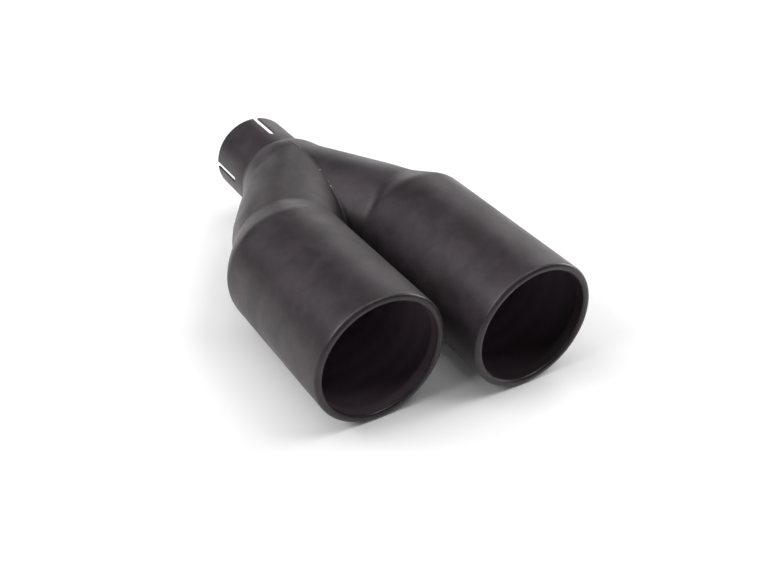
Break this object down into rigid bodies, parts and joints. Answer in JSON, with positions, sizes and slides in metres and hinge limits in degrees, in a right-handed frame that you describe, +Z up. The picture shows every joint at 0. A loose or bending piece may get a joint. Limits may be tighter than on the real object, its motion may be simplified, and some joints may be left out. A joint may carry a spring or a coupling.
{
  "type": "dual exhaust tip",
  "caption": "Black coated Y-shaped exhaust tip: a slotted inlet sleeve, two angled branch pipes and two round barrels with rolled-in lips, one set further forward.",
  "frame": {"origin": "centre of the inlet sleeve's open rim, on the sleeve's axis", "axes": "+Y along the inlet bore and out of its rim, so that the two mouths face -Y; +X across the barrels towards the longer one; +Z up from the surface that the barrels lie on"},
  "size_m": [0.191, 0.2899, 0.09],
  "materials": {
    "black_coat": "matt black coating on steel",
    "coated_weld": "weld bead under the same matt black coating"
  },
  "bodies": {
    "root": {"inlet_sleeve": "black_coat", "left_branch": "black_coat", "right_branch": "black_coat", "left_barrel": "black_coat", "right_barrel": "black_coat", "inlet_weld": "coated_weld", "seam_weld": "coated_weld", "left_neck_weld": "coated_weld", "right_neck_weld": "coated_weld"}
  },
  "joints": []
}
